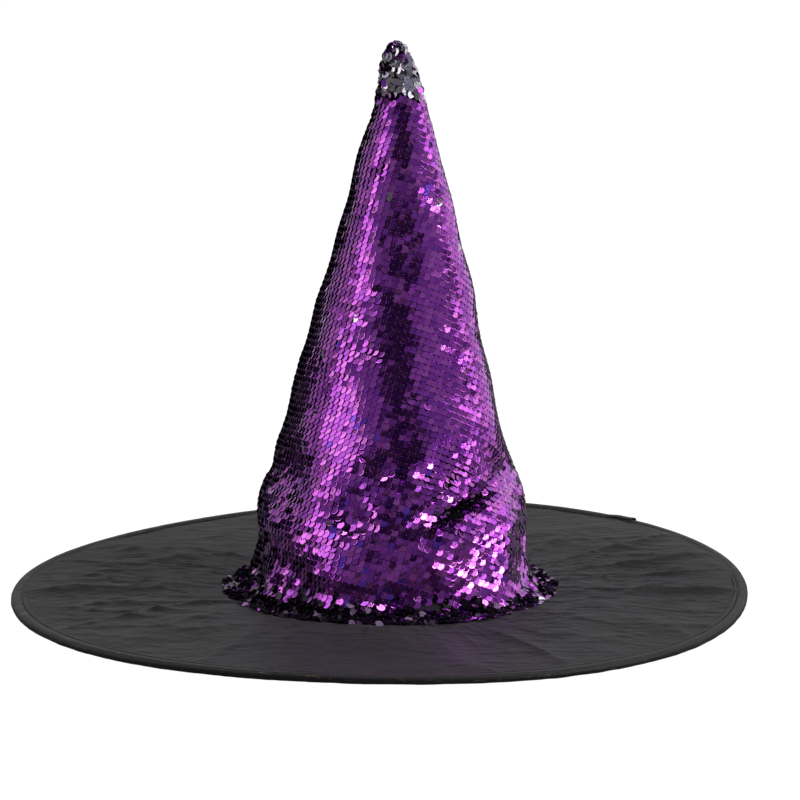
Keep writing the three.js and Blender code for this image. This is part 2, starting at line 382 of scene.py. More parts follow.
def stitch_row(name, path, out, length, radius=0.3):
    """A row of stitches along a closed path. out points away from the cloth."""
    along = unit(np.roll(path, -1, 0) - np.roll(path, 1, 0))
    across = unit(np.cross(out, along))
    axes = (along, across, np.cross(along, across))
    row = scatter_piece(name, stitch_template(length, radius), path, axes, [black_thread], smooth=True)
    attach(row, CROWN_BODY)
    return row


# ---- materials ----


def plain_material(name, color, metallic=0.0, roughness=0.5, specular=0.5):
    material = bpy.data.materials.new(name)
    material.use_nodes = True
    shader = material.node_tree.nodes["Principled BSDF"]
    shader.inputs["Base Color"].default_value = (*color, 1)
    shader.inputs["Metallic"].default_value = metallic
    shader.inputs["Roughness"].default_value = roughness
    shader.inputs["Specular IOR Level"].default_value = specular
    return material


class Nodes:
    """Short calls for the nodes of one material."""

    def __init__(self, material):
        self.tree = material.node_tree
        self.shader = self.tree.nodes["Principled BSDF"]
        self.place = self.add("TexCoord", {}).outputs["Object"]

    def feed(self, node, inputs):
        """Sets sockets, or links them where the value comes from another node."""
        for key, value in inputs.items():
            socket = node.inputs[key]
            if isinstance(value, bpy.types.NodeSocket):
                self.tree.links.new(value, socket)
            else:
                socket.default_value = (*value, 1) if socket.type == "RGBA" else value

    def add(self, kind, inputs, **settings):
        node = self.tree.nodes.new("ShaderNode" + kind)
        for key, value in settings.items():
            setattr(node, key, value)
        self.feed(node, inputs)
        return node

    def surface(self, **inputs):
        """Sets or links sockets of the shader. A name's spaces are written as underscores."""
        self.feed(self.shader, {key.replace("_", " "): value for key, value in inputs.items()})

    def under(self, name):
        """What a socket of the shader is linked to."""
        return self.shader.inputs[name].links[0].from_socket

    def moved(self, **inputs):
        """The place in space, moved or scaled."""
        return self.add("Mapping", {"Vector": self.place, **inputs}).outputs["Vector"]

    def noise(self, scale, size=1.0, detail=3.0, roughness=0.5):
        """Noise whose fineness can differ from axis to axis."""
        inputs = {"Vector": self.moved(Scale=scale), "Scale": size, "Detail": detail, "Roughness": roughness}
        return self.add("TexNoise", inputs).outputs["Fac"]

    def ramp(self, source, stops):
        """Colours or greys along a value. A stop is a position and a grey or a colour."""
        node = self.add("ValToRGB", {"Fac": source})
        elements = node.color_ramp.elements
        while len(elements) < len(stops):
            elements.new(0.5)
        for element, (position, color) in zip(elements, stops):
            element.position = position
            element.color = (*color, 1) if hasattr(color, "__len__") else (color, color, color, 1)
        return node.outputs["Color"]

    def fade(self, source, start, end):
        """From 0 to 1 as the source goes from start to end."""
        inputs = {"Value": source, "From Min": start, "From Max": end}
        return self.add("MapRange", inputs).outputs["Result"]

    def mix(self, factor, a, b):
        return self.add("Mix", {0: factor, 6: a, 7: b}, data_type="RGBA").outputs[2]

    def times(self, a, b):
        return self.add("Math", {0: a, 1: b}, operation="MULTIPLY").outputs[0]

    def bump(self, height, strength, distance, **under):
        inputs = {"Strength": strength, "Distance": distance, "Height": height, **under}
        return self.add("Bump", inputs).outputs["Normal"]


def sequin_material(name, color, roughness, coat=1.0):
    """Metal-coated film with a faint orange-peel surface and finger marks."""
    material = plain_material(name, color, metallic=1.0, roughness=roughness)
    n = Nodes(material)
    marks = n.noise((1, 1, 1), size=140, detail=3)
    n.surface(
        Coat_Weight=coat, Coat_Roughness=0.1,
        Roughness=n.ramp(marks, [(0.3, roughness * 0.75), (0.7, roughness * 1.3)]),
        Normal=n.bump(n.noise((1, 1, 1), size=900, detail=1), 0.12, 0.0004),
    )
    return material


# Purple tones, then a blue one, then a near-black purple that is painted shade for crushed sequins in the
# hem and the deepest fold.
PURPLE_SHADES = [
    (0.60, 0.09, 0.76), (0.70, 0.12, 0.80), (0.50, 0.07, 0.70), (0.78, 0.17, 0.84), (0.42, 0.05, 0.62),
    (0.28, 0.07, 0.88), (0.05, 0.025, 0.06),
]
BLUE_SHADE, PAINTED_SHADE = len(PURPLE_SHADES) - 2, len(PURPLE_SHADES) - 1
SILVER_SHADES = [(0.78, 0.78, 0.82), (0.66, 0.66, 0.70), (0.88, 0.87, 0.89)]

purples = [sequin_material(f"sequin_purple_{i}", c, 0.12) for i, c in enumerate(PURPLE_SHADES[:-1])]
# The near-black copy of the purple sequins, with less coat: painted shade for the hem and the deepest fold.
purples.append(sequin_material("sequin_painted_shade", PURPLE_SHADES[PAINTED_SHADE], 0.2, coat=0.25))
silvers = [sequin_material(f"sequin_silver_{i}", c, 0.11) for i, c in enumerate(SILVER_SHADES)]
sequin_rim = plain_material("sequin_cut_edge", (0.05, 0.01, 0.07), metallic=0.3, roughness=0.45)
sequin_slots = [*purples, *silvers, sequin_rim]
SILVER_SLOT = len(purples)
RIM_SLOT = SILVER_SLOT + len(silvers)


def thread_material(name, color, roughness=0.6):
    """Twisted polyester thread."""
    material = plain_material(name, color, roughness=roughness)
    n = Nodes(material)
    n.surface(Sheen_Weight=0.2, Normal=n.bump(n.noise((1, 1, 1), size=2500, detail=1), 0.5, 0.0002))
    return material


def cloth_material(name, dark, light, roughness, sheen=0.1, slub=(60, 900, 900), specular=0.5):
    """Woven cloth: threads both ways, uneven thicker threads along X, and faint blotches."""
    material = plain_material(name, dark, roughness=roughness, specular=specular)
    n = Nodes(material)
    slubs = n.noise(slub, detail=2)
    blotches = n.noise((9, 9, 9), detail=4)
    parts = {0: n.times(slubs, 0.55), 1: n.times(blotches, 0.45)}
    shade = n.add("Math", parts, operation="ADD").outputs[0]
    threads = []
    for axis in ("X", "Y"):
        inputs = {"Scale": 2400 / 6.283, "Distortion": 0.6, "Vector": n.place}
        threads.append(n.add("TexWave", inputs, bands_direction=axis).outputs["Fac"])
    woven = n.bump(n.times(*threads), 0.25, 0.0002)
    n.surface(
        Sheen_Weight=sheen, Sheen_Roughness=0.4,
        Base_Color=n.ramp(shade, [(0.35, dark), (0.65, light)]),
        Roughness=n.ramp(blotches, [(0.3, roughness * 0.85), (0.7, min(1.0, roughness * 1.15))]),
        Normal=n.bump(slubs, 0.25, 0.0006, Normal=woven),
    )
    return material


def add_creases(material):
    """Crushed taffeta: fine creases, longer along X, over the weave."""
    n = Nodes(material)
    fine = n.noise((75, 120, 90), detail=6, roughness=0.66)
    n.surface(Normal=n.bump(fine, 0.5, 0.004, Normal=n.under("Normal")))
    return n


# In metres: how far from the crown's axis the rub marks fade in, and how far in front of the middle.
CHALK_RADII = (0.1035, 0.0965)
CHALK_FRONT = (-0.055, -0.085)


def add_chalk(n):
    """Grey rub marks on the brim in front of the crown's hem."""
    level = n.moved(Location=(-CROWN_X * MM, 0, 0), Scale=(1, 1, 0))
    length = n.add("VectorMath", {0: level}, operation="LENGTH")
    near = n.fade(length.outputs["Value"], *CHALK_RADII)
    split = n.add("SeparateXYZ", {"Vector": n.place})
    front = n.fade(split.outputs["Y"], *CHALK_FRONT)
    flakes = n.ramp(n.noise((60, 120, 60), detail=4, roughness=0.7), [(0.52, 0.0), (0.6, 0.8)])
    mask = n.times(n.times(near, front), flakes)
    n.surface(Base_Color=n.mix(mask, n.under("Base Color"), (0.11, 0.11, 0.115)))


def add_scuffs(material, color):
    """Worn flecks along a cloth edge."""
    n = Nodes(material)
    flecks = n.ramp(n.noise((110, 110, 700), detail=5, roughness=0.65), [(0.6, 0.0), (0.67, 1.0)])
    n.surface(Base_Color=n.mix(n.times(flecks, 0.8), n.under("Base Color"), color))


def taffeta_material(name, roughness):
    dark, light = (0.016, 0.0168, 0.016), (0.041, 0.042, 0.041)
    return cloth_material(name, dark, light, roughness, slub=(70, 170, 170), specular=0.32)


taffeta = taffeta_material("brim_taffeta_under", 0.45)
add_creases(taffeta)
taffeta_top = taffeta_material("brim_taffeta", 0.5)
add_chalk(add_creases(taffeta_top))
interlining_cloth = cloth_material("brim_interlining", (0.16, 0.16, 0.165), (0.24, 0.24, 0.245), 0.95)
lining_cloth = cloth_material("crown_lining_cloth", (0.010, 0.010, 0.012), (0.022, 0.022, 0.025), 0.6)
backing_cloth = cloth_material(
    "sequin_backing_cloth", (0.004, 0.003, 0.006), (0.010, 0.006, 0.014), 0.85, sheen=0, specular=0.1
)
ribbon_cloth = cloth_material("ribbon_grosgrain", (0.012, 0.012, 0.014), (0.026, 0.026, 0.029), 0.6)
label_cloth = cloth_material("label_satin", (0.62, 0.61, 0.58), (0.78, 0.77, 0.74), 0.55)
binding_cloth = cloth_material("edge_binding_cloth", (0.010, 0.0105, 0.0098), (0.029, 0.029, 0.027), 0.5)
add_scuffs(binding_cloth, (0.20, 0.11, 0.065))
black_thread = thread_material("black_thread", (0.012, 0.012, 0.014))
sequin_thread = thread_material("sequin_thread", (0.15, 0.11, 0.19), roughness=0.3)
steel = plain_material("hoop_steel", (0.45, 0.46, 0.48), metallic=1.0, roughness=0.32)


# ---- sequins ----


def sequin_template():
    """A thin dished disc with a flat middle. Its faces go: front, rim of the front, edge, back."""
    s, flat = SEQUIN_SIDES, SEQUIN_RADIUS * SEQUIN_FLAT
    turn = full_turn(s)
    circle = np.stack([np.cos(turn), np.sin(turn)], axis=1)
    rings = []
    for radius, height in (
        (flat, -SEQUIN_DISH), (SEQUIN_RADIUS, 0), (SEQUIN_RADIUS, -SEQUIN_THICKNESS),
        (flat, -SEQUIN_DISH - SEQUIN_THICKNESS),
    ):
        rings.append(np.hstack([circle * radius, np.full((s, 1), height)]))
    j = np.arange(s)
    k = (j + 1) % s
    faces = [list(j)]
    for ring in range(3):
        faces += [[a, a + s, b + s, b] for a, b in zip(ring * s + j, ring * s + k)]
    faces.append(list(3 * s + j[::-1]))
    return np.vstack(rings), faces


def knot_template():
    """A stitch: a small long bead over the sequin's hole."""
    points = np.array([(0.34, 0, 0), (0, 0.6, 0), (-0.34, 0, 0), (0, -0.6, 0), (0, 0, 0.2), (0, 0, -0.2)])
    faces = [[0, 1, 4], [1, 2, 4], [2, 3, 4], [3, 0, 4], [1, 0, 5], [2, 1, 5], [3, 2, 5], [0, 3, 5]]
    return points, faces


def sewn_grid():
    """Where the sequins are sewn: turns from the front and distances down from the point."""
    reach = HEM_DOWN + SECTOR_START
    steps = np.arange(-int(reach / SEQUIN_PITCH) - 1, int(reach / SEQUIN_PITCH) + 2) * SEQUIN_PITCH
    across, down = (v.ravel() for v in np.meshgrid(steps, steps))
    radius, angle = np.hypot(across, down), np.arctan2(across, down) - GRAIN_TURN
    angle = (angle + np.pi) % (2 * np.pi) - np.pi
    keep = (np.abs(angle) < SECTOR_HALF) & (radius > SECTOR_START + 1.5) & (radius < reach + 1.2)
    radius, angle = radius[keep], angle[keep]
    down = np.clip(radius - SECTOR_START, 0.5, HEM_DOWN - 0.1)
    return angle * np.pi / SECTOR_HALF, down, angle + GRAIN_TURN


hem_waves = Waves(24, 6, 18)
patch_waves = Waves(21, 16, 50)
tilt_waves = Waves(22, 9, 24)
yaw_waves = Waves(23, 9, 24)


def disturbance(turn, height, points):
    """How rumpled the sequins are, from 0 to 1: most at the front, and in patches elsewhere."""
    front = np.exp(-((np.degrees(turn) - 5) / 26) ** 2) * (1 - smoothstep(*GATHERS_START, height))
    patches = smoothstep(0.1, 1.0, patch_waves(points)) * (0.4 + 1.1 * front)
    bulge = fold_share(turn, height, BULGE)
    return np.clip(patches + 0.15 * front + 0.75 * bulge, 0, 1)


def crushed_and_shaded(draw, turn, down):
    """Which sequins are crushed and painted near-black as shade: in the hem, just above it, and in the
    deepest fold.
    """
    edge = HEM_DOWN - down
    fringe = np.exp(-((np.degrees(turn) - FRINGE_TURN) / FRINGE_SPREAD) ** 2)
    shown = np.where(edge < FRINGE_WIDTH, 0.18 + 0.6 * fringe, 0.1 + 0.3 * fringe)
    # Painted shade: just above the hem, a falling share of the sequins gets the near-black colour.
    shadow = 1.05 * (1 - fringe) * (1 - smoothstep(BARE_HEM, BARE_HEM + HEM_SHADOW, edge))
    chance = draw.random(len(turn))
    # Sequins deep in the first fold get it too, as painted shade in the crease.
    fold_shaded = fold_share(turn, crown_profile.at(down)[1], CROWN_FOLDS[0]) > 0.5 + 0.4 * chance
    return np.where(edge > BARE_HEM, fold_shaded | (chance < shadow), chance > shown)


def sewn_axes(turn, down, grain):
    """Where sequins lie, and for each one the directions along the grain, across it and outwards."""
    step = 1.2
    radius = np.maximum(crown_profile.at(down)[0], 2)
    middle = crown_surface(turn, down, SEQUIN_DEPTH)
    side = crown_surface(turn + step / radius, down) - crown_surface(turn - step / radius, down)
    lower, upper = np.minimum(down + step, HEM_DOWN), np.maximum(down - step, 0)
    fall = crown_surface(turn, lower) - crown_surface(turn, upper)
    side, fall = unit(side), unit(fall)
    out = unit(np.cross(fall, side))
    across, along = rotated(side, np.cross(side, out), grain)
    return middle, along, across, out


def leans(turn, height, middle, rumpled):
    """Degrees that each sequin's lower and right edges stand out further than usual."""
    lower = 6.0 * rumpled * tilt_waves(middle)
    for place in SEQUIN_LEANS:
        lower = lower + place[-1] * fold_share(turn, height, place)
    upper_crown = smoothstep(*UPPER_START, height) * (1 - smoothstep(*GATHERS_START, height))
    return lower - UPPER_LEAN * upper_crown, 7.0 * rumpled * yaw_waves(middle)


def sequins():
    """Every sequin's place, axes, height, and whether it is brushed over."""
    draw = np.random.default_rng(2024)
    turn, down, grain = sewn_grid()
    crushed_shaded = crushed_and_shaded(draw, turn, down)
    sewn = ~crushed_shaded | (draw.random(len(turn)) < SEWN_SHARE)
    turn, down, grain, crushed_shaded = turn[sewn], down[sewn], grain[sewn], crushed_shaded[sewn]
    count = len(turn)
    middle, along, across, out = sewn_axes(turn, down, grain)
    height = middle[:, 2]
    hood = HOOD_EDGE + HOOD_WAVE * np.cos(turn) + 2.0 * np.sin(5 * turn + 1)
    brushed = height > hood
    flipped = draw.random(count) < np.where(brushed, BRUSHED_SHARE, STRAY_SHARE)
    way = np.where(flipped, -1, 1)
    rumpled = disturbance(turn, height, middle)
    low = 1 - smoothstep(*LOW_END, height)
    jitter = SEQUIN_JITTER * (1 + 2.6 * rumpled + 2.0 * low + 3.0 * (height < 12)) + BRUSHED_JITTER * brushed
    jitter = jitter + HOOD_EDGE_JITTER * (np.abs(height - hood) < 3) + HIDDEN_JITTER * crushed_shaded
    lean_lower, lean_right = leans(turn, height, middle, rumpled)
    tilt = np.radians(way * SEQUIN_TILT + lean_lower + jitter * draw.normal(size=count))
    yaw = np.radians(SEQUIN_YAW + lean_right + jitter * draw.normal(size=count))
    down_edge, face = rotated(along, out, tilt)
    across_edge, face = rotated(across, face, yaw)
    bluish = 0.003 + 0.09 * np.exp(-((np.degrees(turn) + 8) / 15) ** 2) * (1 - smoothstep(80, 140, height))
    shade = np.where(draw.random(count) < bluish, BLUE_SHADE, draw.integers(0, BLUE_SHADE, count))
    # Crushed sequins take the near-black purple as painted shade.
    shade = np.where(crushed_shaded, PAINTED_SHADE, shade)
    back_shade = draw.integers(0, len(silvers), count)
    middle = middle + SEWN_OFFSET * along * way[:, None]
    middle[:, 2] += POINT_LIFT * smoothstep(*POINT_START, height)
    return dict(
        middle=middle, along=down_edge, across=across_edge, out=face, turn=turn, flipped=flipped,
        shade=shade, back_shade=back_shade, height=height,
    )


def sequin_face_slots(shade, back_shade, flipped):
    """Material of each face of each sequin. A sequin that is brushed over shows its silver back."""
    silver = SILVER_SLOT + back_shade
    front = np.where(flipped, silver, shade)[:, None]
    back = np.where(flipped, shade, silver)[:, None]
    face, edge = np.ones((1, SEQUIN_SIDES + 1), int), np.full((len(shade), SEQUIN_SIDES), RIM_SLOT)
    return np.hstack([front * face, edge, back * face]).ravel()


def place_crown_piece(piece, bends):
    """The crown is one cloth: what crosses the crease is left unattached where it stands, and the rest rides
    on the crown.
    """
    if bends:
        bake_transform(piece)
    else:
        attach(piece, CROWN_BODY)


SECTORS = [
    ("front_right", 0, 60), ("right", 60, 120), ("back_right", 120, 180),
    ("back_left", -180, -120), ("left", -120, -60), ("front_left", -60, 0),
]


def build_sequins():
    disc, knot = sequin_template(), knot_template()
    every = sequins()

    def pick(chosen):
        part = {key: value[chosen] for key, value in every.items()}
        return part, (part["along"], part["across"], part["out"])

    degrees = np.degrees(every["turn"])
    low = every["height"] < TOP_PIECE_HEIGHT
    groups = [(f"crown_sequins_{name}", low & (degrees >= a) & (degrees < b)) for name, a, b in SECTORS]
    groups.append(("crown_sequins_top", ~low))
    for name, chosen in groups:
        part, axes = pick(chosen)
        slots = sequin_face_slots(part["shade"], part["back_shade"], part["flipped"])
        piece = scatter_piece(name, disc, part["middle"], axes, sequin_slots, slots)
        place_crown_piece(piece, name.endswith("top"))
    for name, chosen in (("crown_sequin_stitches", low), ("tip_sequin_stitches", ~low)):
        part, axes = pick(chosen)
        hole = part["middle"] - KNOT_OFFSET * part["along"] + (0.02 - SEQUIN_DISH) * part["out"]
        piece = scatter_piece(name, knot, hole, axes, [sequin_thread])
        place_crown_piece(piece, name.startswith("tip"))


# ---- the cloths of the crown ----


def crown_cloth(name, depth, thickness, end, slots, rows=150, around=144):
    """A closed cap of cloth under the crown's surface, as far down as its end."""
    turn, down = np.meshgrid(full_turn(around), np.linspace(0, end, rows))
    outer = crown_surface(turn, down, depth)
    inner = crown_surface(turn, down, depth + thickness)[::-1]
    return round_piece(name, np.concatenate([outer, inner]), slots, rows_close=False)


def build_crown_cloths():
    backing = crown_cloth("crown_backing", *BACKING, HEM_DOWN - 1, [backing_cloth])
    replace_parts(backing, "crown_sequin_fabric", "crown_fold_zone", "tip_sequin_fabric")
    place_crown_piece(backing, True)

    lining = crown_cloth("crown_lining_cone", *LINING, HEM_DOWN - 8, [lining_cloth])
    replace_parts(lining, "crown_lining", "tip_lining")
    place_crown_piece(lining, True)


def tube_rows(path, radius, sides=12, closed=True):
    """Lines of points along a path, one for each side of a tube about it."""
    step = np.roll(path, -1, 0) - np.roll(path, 1, 0) if closed else np.gradient(path, axis=0)
    along = unit(step)
    side = unit(np.cross(along, [0, 0, 1.0]))
    up = np.cross(side, along)
    radius = np.broadcast_to(radius, (len(path),))
    return [path + radius[:, None] * (np.cos(t) * side + np.sin(t) * up) for t in full_turn(sides)]


def build_hem_roll():
    """The crown's rolled edge: the mesh that the sequins are sewn to, turned under."""
    path = crown_surface(full_turn(720), HEM_DOWN - 2.2, 2.0)
    swell = HEM_ROLL_RADIUS + 0.25 * hem_waves(path)
    roll = round_piece("crown_hem_roll", tube_rows(path, swell)[::-1], [backing_cloth])
    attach(roll, CROWN_BODY)


def build_seam_tape():
    """A tape up the inside of the crown's one seam, at the back."""
    across, depth = np.array(SEAM_TAPE_SECTION).T
    rows = []
    for down in np.linspace(HEM_DOWN - SEAM_TAPE_FROM_HEM, SEAM_TAPE_FROM_POINT, 90):
        turn = np.pi + across / crown_profile.at(down)[0]
        rows.append(crown_surface(turn, down, depth))
    tape = strip_piece("crown_seam_tape_strip", rows, [ribbon_cloth])
    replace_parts(tape, "crown_seam_tape")
    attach(tape, CROWN_BODY)


def build_sweatband():
    """A ribbed ribbon inside the opening, with its row of stitches."""
    turn = full_turn(4 * SWEATBAND_RIBS)
    rib = 0.14 * np.cos(turn * SWEATBAND_RIBS)
    path = smooth_path(SWEATBAND_PROFILE, 4)
    slope = np.gradient(path, axis=0)
    out = unit(np.stack([-slope[:, 1], slope[:, 0]], axis=1)) * -1
    rows = []
    for side, texture in ((1, rib), (-1, 0 * rib)):
        for (radius, height), (out_r, out_z) in list(zip(path, out))[::side]:
            level = turned_points(radius, height, turn)
            radius = radius + crown_relief(turn, height, level)
            offset = side * 0.3 + texture
            rows.append(turned_points(radius + out_r * offset, height + out_z * offset, turn))
    band = round_piece("sweatband_ribbon", np.array(rows)[::-1], [ribbon_cloth])
    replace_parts(band, "sweatband")
    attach(band, CROWN_BODY)

    turn = full_turn(SWEATBAND_STITCHES)
    row = sweatband_point(turn, SWEATBAND_STITCH_HEIGHT, 0.42)
    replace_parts(stitch_row("sweatband_stitches", row, inwards(turn), 2.6), "sweatband_thread")


def sweatband_point(turn, height, inside):
    """A point inside the sweatband, at a height, and a distance in from the ribbon's middle."""
    path = smooth_path(SWEATBAND_PROFILE, 4)
    radius = np.interp(height, path[:, 1], path[:, 0])
    radius = radius + crown_relief(turn, height, turned_points(radius, height, turn))
    return turned_points(radius - inside, height, turn)


def build_label():
    """A plain folded label, sewn by its top corners to the ribbon at the back."""
    inside, height = np.array(LABEL_SECTION).T
    rows = []
    for x in np.linspace(-LABEL_WIDTH / 2, LABEL_WIDTH / 2, 19):
        droop = 0.35 * np.cos(x / 3.5) * smoothstep(24, 14, height)
        rows.append(sweatband_point(np.pi + x / LABEL_RADIUS + 0 * height, height, inside + droop))
    label = strip_piece("blank_label_fold", rows, [label_cloth])
    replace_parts(label, "blank_label")
    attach(label, CROWN_BODY)

    x, height = np.array(LABEL_TACKS).T
    turn = np.pi + x / LABEL_RADIUS
    centres = sweatband_point(turn, height, 1.15)
    out = inwards(turn)
    along = np.tile([0, 0, 1.0], (len(LABEL_TACKS), 1))
    axes = (along, np.cross(out, along), out)
    thread = stitch_template(1.2, 0.2)
    tacks = scatter_piece("label_stitches", thread, centres, axes, [black_thread], smooth=True)
    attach(tacks, CROWN_BODY)


# ---- the brim ----


def around_waves(angle, waves):
    return sum(c * np.cos(k * angle) + s * np.sin(k * angle) for k, c, s in waves)


def brim_point(radius, angle, height):
    """A point of the brim: on its real outline, and lifted with its edge. The angle is from +X."""
    share = np.clip((radius - OPENING_RADIUS) / (BRIM_RADIUS - OPENING_RADIUS), 0, 1.1)
    radius = radius + share * around_waves(angle, OUTLINE_WAVES)
    lift = share**1.5 * np.maximum(around_waves(angle, LIFT_WAVES), 0)
    x, y = CROWN_X + radius * np.cos(angle), radius * np.sin(angle)
    return np.stack([x + 0 * height, y + 0 * height, height + lift], axis=-1)


wrinkle_waves = Waves(31, 7, 22, 30)
broad_waves = Waves(33, 24, 60, 16)
sag_waves = Waves(32, 60, 160, 12)


def wrinkles(points, angle, share):
    """Creases of the brim's top: fanned near the crown, and along X at the left and right."""
    x, y = points[..., 0] - CROWN_X, points[..., 1]
    stretched = np.stack([x * 0.4 + 0.25 * y, y - 0.06 * x, 0 * x], axis=-1)
    fanned = np.stack([84 * np.cos(angle), 84 * np.sin(angle), np.hypot(x, y) * 0.16], axis=-1)
    sides = 0.25 + 0.75 * np.abs(np.cos(angle)) ** 2
    middle = np.sin(np.pi * np.clip(share, 0, 1)) ** 0.6
    crease = 1 - np.abs(wrinkle_waves(stretched))
    broad = 1 - np.abs(broad_waves(stretched))
    fan = 1 - np.abs(wrinkle_waves(fanned))
    near = np.exp(-share * 4)
    sag = np.maximum(0.5 + 0.5 * sag_waves(points), 0)
    rays = 1 - np.abs(broad_waves(fanned))
    creases = FINE_CREASES * np.maximum(crease, 0) ** 3 + BROAD_CREASES * np.maximum(broad, 0) ** 2.5
    creases = creases + (RAY_CREASES + RAY_GROWTH * share) * np.maximum(rays, 0) ** 3
    return middle * (sides * creases + HEM_CREASES * near * np.maximum(fan, 0) ** 3 + SAG * sag)


def brim_cloth(name, heights, direction, slots, rows, around):
    """One of the brim's two fabrics, with its creases on the outside."""
    edge = BRIM_RADIUS - FABRIC_EDGE_INSET
    angle, radius = np.meshgrid(full_turn(around), np.linspace(OPENING_RADIUS, edge, rows))
    share = (radius - OPENING_RADIUS) / (edge - OPENING_RADIUS)
    low, high = (brim_point(radius, angle, height) for height in heights)
    relief = wrinkles(low, angle, share) * direction
    low[..., 2] += relief
    high[..., 2] += relief
    return round_piece(name, np.concatenate([high, low[::-1]]), slots)


def build_brim():
    top = brim_cloth("brim_top_cloth", TOP_FABRIC, 1.0, [taffeta_top], rows=92, around=760)
    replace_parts(top, "brim_top_fabric")
    bottom = brim_cloth("brim_bottom_cloth", BOTTOM_FABRIC, BOTTOM_RELIEF, [taffeta], rows=64, around=480)
    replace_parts(bottom, "brim_bottom_fabric")
    for cloth, under in ((top, "brim_interlining_felt"), (bottom, "edge_binding_roll")):
        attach(cloth, CROWN_BODY)
    low, high = INTERLINING
    across = np.linspace(OPENING_RADIUS, BRIM_RADIUS - FABRIC_EDGE_INSET, 16)
    section = [(radius, low) for radius in across] + [(radius, high) for radius in across[::-1]]
    rows = [brim_point(radius, full_turn(360), height) for radius, height in section]
    felt = round_piece("brim_interlining_felt", rows[::-1], [interlining_cloth])
    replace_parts(felt, "brim_interlining")
    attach(felt, CROWN_BODY)


# The sections of the binding and of its lapped end, as distances in from the brim's edge and heights.
BINDING_SECTION = [
    (7.6, 0.75), (6.2, 0.9), (5.2, 0.7), (4.4, 0.15), (3.0, 0.02), (1.6, 0.12), (0.55, 0.7), (0.02, 1.8),
    (0.05, 2.9), (0.6, 3.9), (1.6, 4.5), (3.0, 4.62), (4.4, 4.5), (5.2, 4.4), (5.7, 3.95), (6.2, 3.8),
    (6.7, 3.95), (7.2, 4.4), (8.1, 4.5), (8.1, 4.1), (7.2, 3.95), (6.2, 3.5), (5.0, 3.85), (3.0, 4.1),
    (1.4, 3.7), (0.62, 2.6), (0.7, 1.5), (1.6, 0.7), (3.0, 0.5), (4.6, 0.7), (5.4, 1.15), (6.2, 1.25),
    (7.6, 1.15),
]
LAP_SECTION = [
    (5.4, 4.75), (3.0, 4.95), (1.2, 4.85), (0.1, 4.1), (-0.42, 2.9), (-0.42, 1.6), (-0.1, 0.65),
    (-0.5, 0.6), (-0.85, 1.6), (-0.85, 3.0), (-0.35, 4.5), (0.9, 5.25), (3.0, 5.35), (5.4, 5.15),
]
LAP_START, LAP_END = 0.8, 0.9  # where the strip's end laps over its start, in radians from +X
BINDING_STITCHES, BINDING_STITCH_RADIUS = 430, BRIM_RADIUS - 6.2
PUCKER = 0.12  # how far the binding swells between its stitches
HOOP_INSET, HOOP_HEIGHT, HOOP_RADIUS = 2.35, 2.3, 0.8
HOOP_JOINT = 1.7  # where the wire's ends meet, in radians from +X
HOOP_JOINT_GAP = 0.006  # half the gap between them
FERRULE_OUTER, FERRULE_BORE, FERRULE_LENGTH = 1.4, 1.1, 18.0
FERRULE_CRIMP = 0.16  # how deep it is crimped in two places
CROWN_STITCHES, CROWN_STITCH_RADIUS = 190, 90.8


def build_binding():
    """The folded strip around the edge, puckered between its stitches."""
    angle = full_turn(3 * BINDING_STITCHES)
    pucker = Waves(41, 5, 16, 20)
    rows = []
    for inset, height in BINDING_SECTION:
        place = np.stack([BRIM_RADIUS * np.cos(angle), BRIM_RADIUS * np.sin(angle), 0 * angle + inset], -1)
        swell = PUCKER * pucker(place) * (1 if 1.0 < height < 3.5 or inset < 5 else 0.6)
        level = np.maximum(height + swell * 0.5, 0.01)
        rows.append(brim_point(BRIM_RADIUS - inset - swell * 0.6, angle, level))
    roll = round_piece("edge_binding_roll", np.array(rows)[::-1], [binding_cloth])
    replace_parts(roll, "edge_binding")

    rows = []
    for angle in np.linspace(LAP_START, LAP_END, 18):
        rise = 0.3 * smoothstep(0.825, LAP_START, angle) - 0.75 * smoothstep(0.85, LAP_END, angle)
        section = np.array([(i - rise, h + rise * (h > 2)) for i, h in LAP_SECTION[::-1]])
        rows.append(brim_point(BRIM_RADIUS - section[:, 0], angle, section[:, 1]))
    lap = strip_piece("edge_binding_lap_end", rows, [binding_cloth])
    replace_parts(lap, "edge_binding_lap")
    for piece in (roll, lap):
        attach(piece, CROWN_BODY)


def build_brim_stitches():
    """Single stitches: along the binding above and below, and under the brim where the crown joins."""
    up = np.array([0, 0, 1.0])
    edge, hem = (BINDING_STITCH_RADIUS, BINDING_STITCHES), (CROWN_STITCH_RADIUS, CROWN_STITCHES)
    for name, node, (radius, count), height, out, length in (
        ("binding_top_stitches", "binding_top_thread", edge, 3.85, up, 2.5),
        ("binding_under_stitches", "binding_bobbin_thread", edge, 0.86, -up, 2.5),
        ("crown_seam_stitches", "crown_seam_thread", hem, 1.25, -up, 2.4),
    ):
        path = brim_point(radius, full_turn(count), height)
        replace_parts(stitch_row(name, path, out, length), node)


